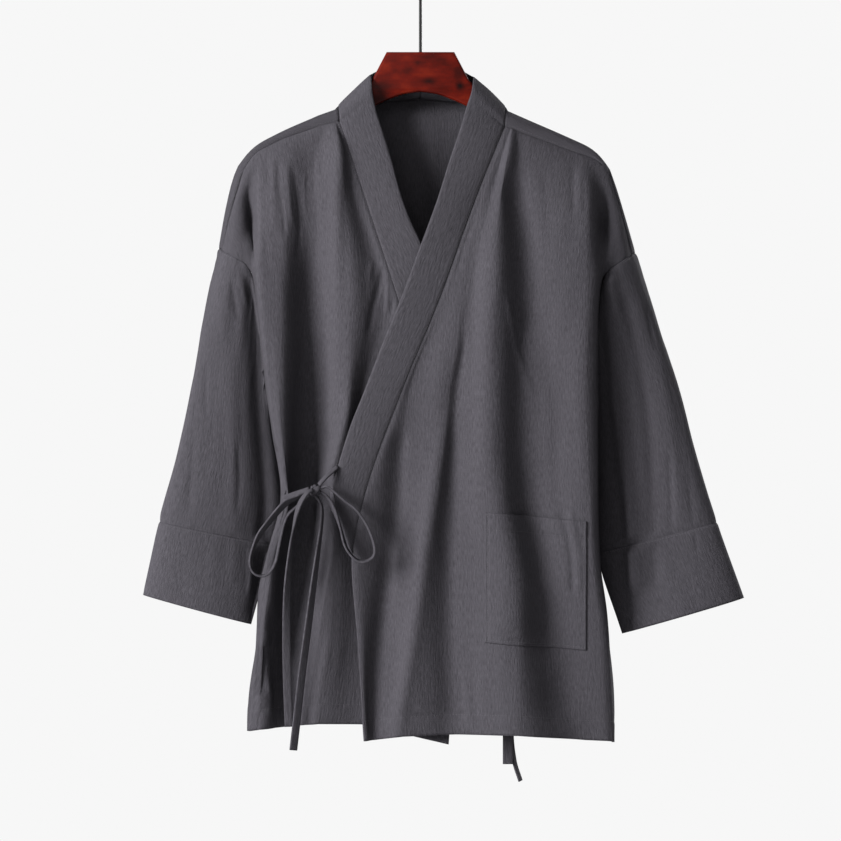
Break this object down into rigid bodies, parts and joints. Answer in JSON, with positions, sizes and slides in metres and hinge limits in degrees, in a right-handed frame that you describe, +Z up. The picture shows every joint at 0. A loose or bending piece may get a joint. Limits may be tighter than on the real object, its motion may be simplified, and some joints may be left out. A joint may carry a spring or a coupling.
{
  "type": "meditation kimono on a hanger",
  "caption": "Dark wrap jacket for meditation with wide cuffed sleeves, a collar band, a patch pocket and tied ribbons, hanging on a wooden hanger.",
  "frame": {"origin": "inner top of the hook, where it rests on a rail or peg", "axes": "+X to the wearer's left, -Y towards the front, +Z up; the jacket hangs down from the origin"},
  "size_m": [0.7269, 0.1201, 0.9973],
  "materials": {
    "linen": "matt, slubbed weave",
    "hanger_wood": "satin varnish",
    "hook_metal": "satin black"
  },
  "bodies": {
    "root": {"back": "linen", "front_right": "linen", "front_left": "linen", "sleeve_right": "linen", "sleeve_left": "linen", "cuff_right": "linen", "cuff_left": "linen", "collar_right": "linen", "collar_left": "linen", "pocket": "linen", "tie_side": "linen", "tie_overlap": "linen", "bow_knot": "linen", "bow_loop_side": "linen", "bow_loop_front": "linen", "tie_tail_side": "linen", "tie_tail_front": "linen", "inner_tie_under": "linen", "inner_tie_side": "linen", "hanger_wood": "hanger_wood", "hanger_hook": "hook_metal"}
  },
  "joints": []
}
